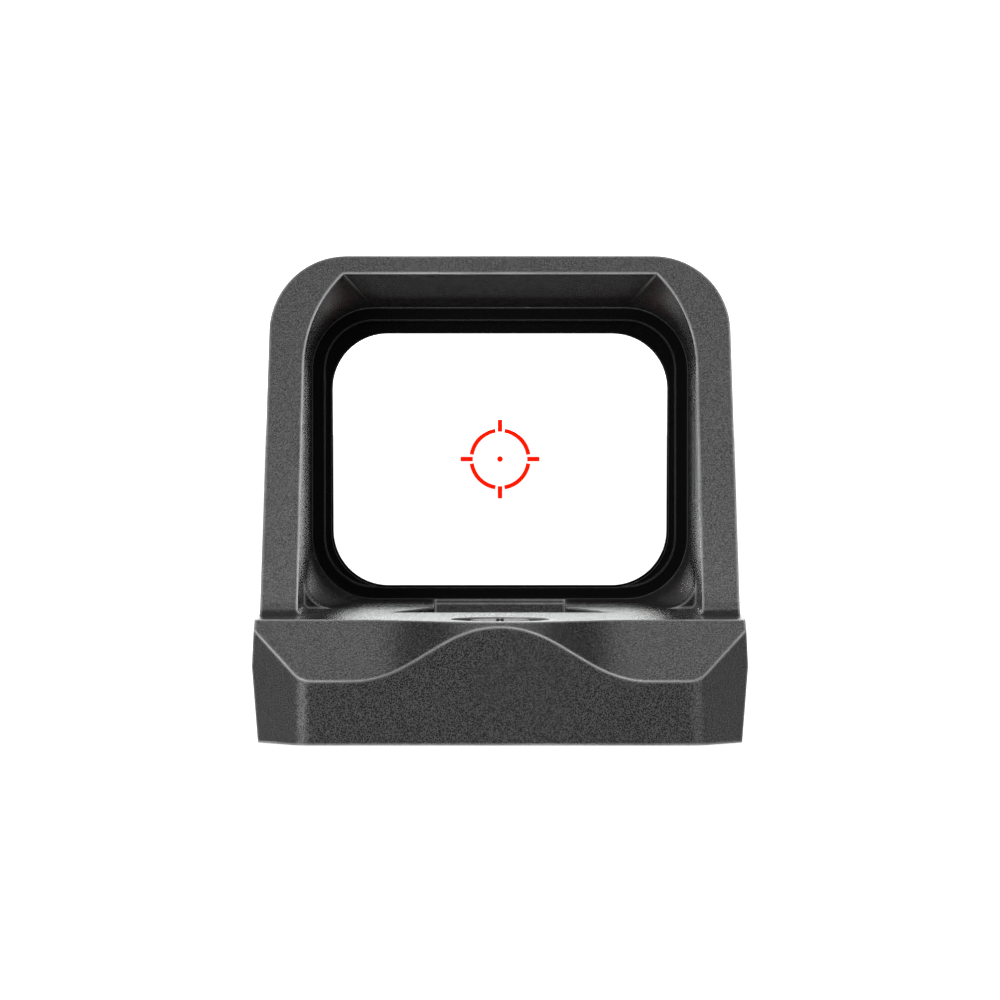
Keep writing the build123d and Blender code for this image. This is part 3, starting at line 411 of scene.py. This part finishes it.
MARK_PAINT = plastic("mark_paint", (0.55, 0.55, 0.55), 0.6, 0.00006, 0.000002)
X, Y, Z = Vector((1, 0, 0)), Vector((0, 1, 0)), Vector((0, 0, 1))
dial_marks("elevation_graduations", "elevation_dial", "elevation_adjuster", Z, X, Y)
dial_marks("windage_graduations", "windage_dial", "windage_adjuster", X, Y, Z)
dial_low, dial_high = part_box("elevation_dial")
deck_marks = bmesh.new()
for mark_x in DECK_MARK_X:
    spot = Vector((mark_x, dial_high[1] + DECK_MARK_FROM_DIAL, dial_high[2] + DECK_MARK_LIFT))
    quad(deck_marks, spot, Y, X, DECK_MARK_HALF_LENGTH, DECK_MARK_HALF_WIDTH)
painted("deck_index_marks", deck_marks, "base")


# ---------------------------------------------------------------- stage
def plane_object(name, corners):
    """Flat quad from its four corners."""
    data = bpy.data.meshes.new(name)
    data.from_pydata(corners, [], [(0, 1, 2, 3)])
    obj = bpy.data.objects.new(name, data)
    bpy.context.scene.collection.objects.link(obj)
    return obj


FLOOR_HALF = 3
FLOOR_Z = -0.0001
FLOOR_CORNERS = [(x * FLOOR_HALF, y * FLOOR_HALF, FLOOR_Z) for x, y in ((-1, -1), (1, -1), (1, 1), (-1, 1))]
FLOOR_COLOUR = (0.3, 0.3, 0.3, 1.0)
FLOOR_GLOW = 0.98
WHITE = (1.0, 1.0, 1.0, 1.0)
floor = plane_object("floor", FLOOR_CORNERS)
floor_material, _, floor_shader = new_material("floor_paint")
floor_shader.inputs["Base Color"].default_value = FLOOR_COLOUR
floor_shader.inputs["Roughness"].default_value = 0.8
floor_shader.inputs["Emission Color"].default_value = WHITE
floor_shader.inputs["Emission Strength"].default_value = FLOOR_GLOW
floor.data.materials.append(floor_material)

# The sky is bright low down behind the object, and dim overhead and behind the eye.
world = bpy.data.worlds.new("studio")
bpy.context.scene.world = world
world.use_nodes = True
sky = world.node_tree
heading = sky.nodes.new("ShaderNodeTexCoord")
direction = sky.nodes.new("ShaderNodeSeparateXYZ")
sky.links.new(heading.outputs["Generated"], direction.inputs["Vector"])
wall = add_node(sky, "ShaderNodeMapRange", From_Min=0.35, From_Max=0.75, To_Min=0.06, To_Max=2.0)
sky.links.new(direction.outputs["Y"], wall.inputs["Value"])
band = add_node(sky, "ShaderNodeMapRange", From_Min=0.15, From_Max=0.45, To_Min=1.0, To_Max=0.12)
sky.links.new(direction.outputs["Z"], band.inputs["Value"])
level = sky.nodes.new("ShaderNodeMath")
level.operation = "MULTIPLY"
sky.links.new(wall.outputs["Result"], level.inputs[0])
sky.links.new(band.outputs["Result"], level.inputs[1])
sky.links.new(level.outputs["Value"], sky.nodes["Background"].inputs["Strength"])
sky.nodes["Background"].inputs["Color"].default_value = WHITE


def soft_light(name, location, target, size, power):
    """Rectangular softbox aimed at a point."""
    data = bpy.data.lights.new(name, "AREA")
    data.shape = "RECTANGLE"
    data.size, data.size_y = size
    data.energy = power
    light = bpy.data.objects.new(name, data)
    light.location = location
    light.rotation_euler = (Vector(target) - Vector(location)).to_track_quat("-Z", "Y").to_euler()
    bpy.context.scene.collection.objects.link(light)


OBJECT_MIDDLE = (0, -0.01, 0.015)
STRIP_SIZE = (0.45, 0.3)
soft_light("brow_box", (0.0, -0.40, 0.46), OBJECT_MIDDLE, size=(0.7, 0.16), power=4.6)
soft_light("top_box", (0.0, -0.05, 0.5), OBJECT_MIDDLE, size=(0.5, 0.3), power=1.5)
soft_light("left_strip", (-0.40, -0.42, 0.06), OBJECT_MIDDLE, size=STRIP_SIZE, power=6.5)
soft_light("right_strip", (0.40, -0.42, 0.06), OBJECT_MIDDLE, size=STRIP_SIZE, power=2.6)
bpy.context.scene.view_settings.view_transform = "Standard"
